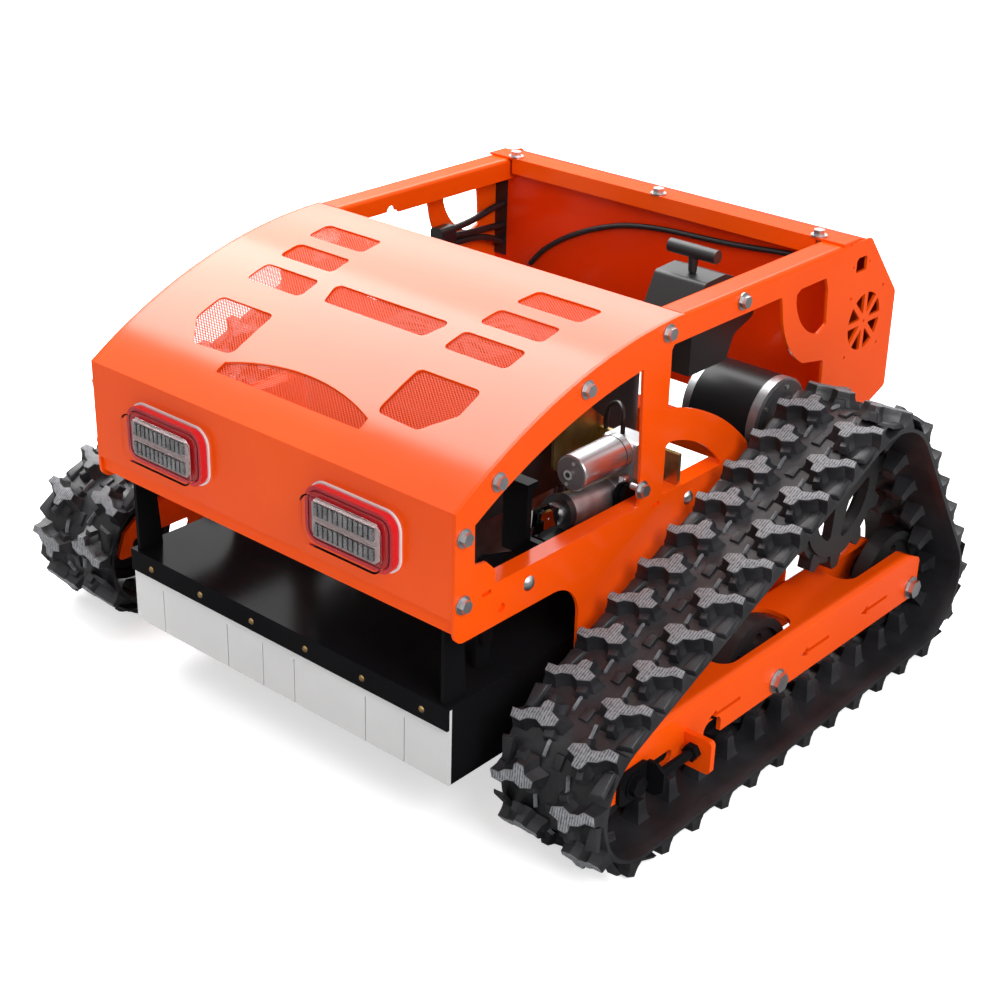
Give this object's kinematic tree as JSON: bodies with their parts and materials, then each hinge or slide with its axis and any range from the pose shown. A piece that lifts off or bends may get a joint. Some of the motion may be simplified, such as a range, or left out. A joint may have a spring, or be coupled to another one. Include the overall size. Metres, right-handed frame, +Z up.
{
  "type": "lawn mower",
  "caption": "Tracked remote slope mower: open folded-sheet chassis with arched hood, rubber tracks with sprockets, lifting deck, engine and electric travel drive.",
  "frame": {"origin": "centre of the bounding box on the ground, under mid length and mid width", "axes": "+Z up, front panel faces -Y, the machine's right plate faces +X"},
  "size_m": [1.015, 0.9149, 0.5848],
  "materials": {
    "aluminium": "cast and machined",
    "black_paint": "satin black powder coat",
    "black_plastic": "fine texture",
    "brass_screws": "passivated",
    "cable_black": "smooth sheath",
    "cast_black": "black painted casting",
    "chrome": "hard chrome rod",
    "clear_lens": "clear",
    "engine_grey": "die cast",
    "mesh_paint": "painted expanded sheet",
    "orange_paint": "glossy powder coat",
    "red_plastic": "glossy",
    "skirt_rubber": "light grey rubber sheet",
    "steel": "bright steel",
    "track_rubber": "moulded rubber, lug tips scuffed grey",
    "white_gasket": "soft gasket",
    "yellow_zinc": "yellow zinc plate",
    "zinc": "zinc plated"
  },
  "bodies": {
    "chassis": {"actuator_body": "aluminium", "actuator_cable": "cable_black", "actuator_motor": "aluminium", "actuator_mount": "yellow_zinc", "battery_pack": "black_plastic", "bulkhead": "orange_paint", "cable_loom": "cable_black", "crank_bracket": "black_paint", "cross_members": "orange_paint", "gear_housings": "aluminium", "hex_bolts": "zinc", "hood": "orange_paint", "hood_mesh": "mesh_paint", "lift_pins": "zinc", "light_gaskets": "white_gasket", "light_housings": "red_plastic", "light_lenses": "clear_lens", "motor_cans": "black_paint", "motor_controller": "black_plastic", "motor_end_bells": "aluminium", "rear_cover": "orange_paint", "rear_tray": "orange_paint", "roller_axles": "zinc", "side_plate_left": "orange_paint", "side_plate_right": "orange_paint", "sill_tubes": "orange_paint", "track_belt_left": "track_rubber", "track_belt_right": "track_rubber", "track_frame_left": "orange_paint", "track_frame_right": "orange_paint", "track_stubs": "orange_paint"},
    "deck": {"deck_shell": "black_paint", "front_skirt": "skirt_rubber", "skirt_clamp": "black_paint", "skirt_screws": "brass_screws", "engine_block": "engine_grey", "engine_shroud": "black_plastic", "recoil_cover": "black_plastic", "rope_guide": "black_plastic", "starter_rope": "cable_black"},
    "starter": {"starter_handle": "black_plastic"},
    "blade": {"cutting_blade": "steel", "blade_boss": "steel"},
    "crank": {"bell_crank": "black_paint"},
    "link": {"drop_link": "black_paint"},
    "rod": {"actuator_rod": "chrome"},
    "front_arms": {"front_lift_arms": "black_paint"},
    "rear_arms": {"rear_lift_arms": "black_paint"},
    "sprocket_right": {"drive_sprocket_right": "cast_black", "drive_shaft_right": "steel"},
    "front_wheel_right": {"front_idler_right": "cast_black"},
    "mid_wheel_right": {"mid_roller_right": "cast_black"},
    "rear_wheel_right": {"rear_idler_right": "cast_black"},
    "tensioner_right": {"tension_fork_right": "black_paint"},
    "sprocket_left": {"drive_sprocket_left": "cast_black", "drive_shaft_left": "steel"},
    "front_wheel_left": {"front_idler_left": "cast_black"},
    "mid_wheel_left": {"mid_roller_left": "cast_black"},
    "rear_wheel_left": {"rear_idler_left": "cast_black"},
    "tensioner_left": {"tension_fork_left": "black_paint"}
  },
  "joints": [
    {"name": "sprocket_spin_right", "type": "hinge", "parent": "chassis", "child": "sprocket_right", "pos_m": [0.4245, 0.183, 0.2866], "axis": [1, 0, 0], "continuous": true, "deforming": ["track_belt_right"]},
    {"name": "track_tension_right", "type": "slide", "parent": "chassis", "child": "tensioner_right", "axis": [0, 1, 0], "range_m": [-0.015, 0], "deforming": ["track_belt_right"]},
    {"name": "front_wheel_spin_right", "type": "hinge", "parent": "tensioner_right", "child": "front_wheel_right", "pos_m": [0.4245, -0.2895, 0.105], "axis": [1, 0, 0], "continuous": true},
    {"name": "mid_wheel_spin_right", "type": "hinge", "parent": "chassis", "child": "mid_wheel_right", "pos_m": [0.4245, 0.0075, 0.105], "axis": [1, 0, 0], "continuous": true},
    {"name": "rear_wheel_spin_right", "type": "hinge", "parent": "chassis", "child": "rear_wheel_right", "pos_m": [0.4245, 0.3365, 0.105], "axis": [1, 0, 0], "continuous": true},
    {"name": "sprocket_spin_left", "type": "hinge", "parent": "chassis", "child": "sprocket_left", "pos_m": [-0.4245, 0.183, 0.2866], "axis": [1, 0, 0], "continuous": true, "deforming": ["track_belt_left"]},
    {"name": "track_tension_left", "type": "slide", "parent": "chassis", "child": "tensioner_left", "axis": [0, 1, 0], "range_m": [-0.015, 0], "deforming": ["track_belt_left"]},
    {"name": "front_wheel_spin_left", "type": "hinge", "parent": "tensioner_left", "child": "front_wheel_left", "pos_m": [-0.4245, -0.2895, 0.105], "axis": [1, 0, 0], "continuous": true},
    {"name": "mid_wheel_spin_left", "type": "hinge", "parent": "chassis", "child": "mid_wheel_left", "pos_m": [-0.4245, 0.0075, 0.105], "axis": [1, 0, 0], "continuous": true},
    {"name": "rear_wheel_spin_left", "type": "hinge", "parent": "chassis", "child": "rear_wheel_left", "pos_m": [-0.4245, 0.3365, 0.105], "axis": [1, 0, 0], "continuous": true},
    {"name": "deck_lift", "type": "hinge", "parent": "chassis", "child": "front_arms", "pos_m": [0.0245, -0.3095, 0.314], "axis": [1, 0, 0], "range_deg": [0, 32.2]},
    {"name": "deck_level", "type": "hinge", "parent": "front_arms", "child": "deck", "pos_m": [0.0245, -0.39597, 0.33896], "axis": [1, 0, 0], "range_deg": [-32.2, 0]},
    {"name": "rear_arm_swing", "type": "hinge", "parent": "chassis", "child": "rear_arms", "pos_m": [0.0245, -0.0085, 0.314], "axis": [1, 0, 0], "range_deg": [0, 32.2]},
    {"name": "crank_swing", "type": "hinge", "parent": "chassis", "child": "crank", "pos_m": [0.2645, -0.22887, 0.29335], "axis": [1, 0, 0], "range_deg": [0, 32.2]},
    {"name": "drop_link_swing", "type": "hinge", "parent": "crank", "child": "link", "pos_m": [0.2645, -0.31534, 0.31831], "axis": [1, 0, 0], "range_deg": [-32.2, 0]},
    {"name": "actuator_slide", "type": "slide", "parent": "chassis", "child": "rod", "axis": [0, -0.9938, 0.1115], "range_m": [0, 0.02662]},
    {"name": "blade_spin", "type": "hinge", "parent": "deck", "child": "blade", "pos_m": [0.0245, -0.1025, 0.1], "axis": [0, 0, 1], "continuous": true},
    {"name": "starter_pull", "type": "slide", "parent": "deck", "child": "starter", "axis": [0, 0, 1], "range_m": [0, 0.55], "stiffness_N_per_m": 40, "springref_m": -0.25, "deforming": ["starter_rope"]}
  ],
  "couplings": [
    {"joint": "front_wheel_spin_right", "follows": "sprocket_spin_right", "ratio": 1.2656},
    {"joint": "mid_wheel_spin_right", "follows": "sprocket_spin_right", "ratio": 1.2656},
    {"joint": "rear_wheel_spin_right", "follows": "sprocket_spin_right", "ratio": 1.2656},
    {"joint": "front_wheel_spin_left", "follows": "sprocket_spin_left", "ratio": 1.2656},
    {"joint": "mid_wheel_spin_left", "follows": "sprocket_spin_left", "ratio": 1.2656},
    {"joint": "rear_wheel_spin_left", "follows": "sprocket_spin_left", "ratio": 1.2656},
    {"joint": "deck_level", "follows": "deck_lift", "ratio": -1},
    {"joint": "rear_arm_swing", "follows": "deck_lift", "ratio": 1},
    {"joint": "crank_swing", "follows": "deck_lift", "ratio": 1},
    {"joint": "drop_link_swing", "follows": "deck_lift", "ratio": -1},
    {"joint": "actuator_slide", "follows": "deck_lift", "m_per_rad": 0.047365}
  ]
}
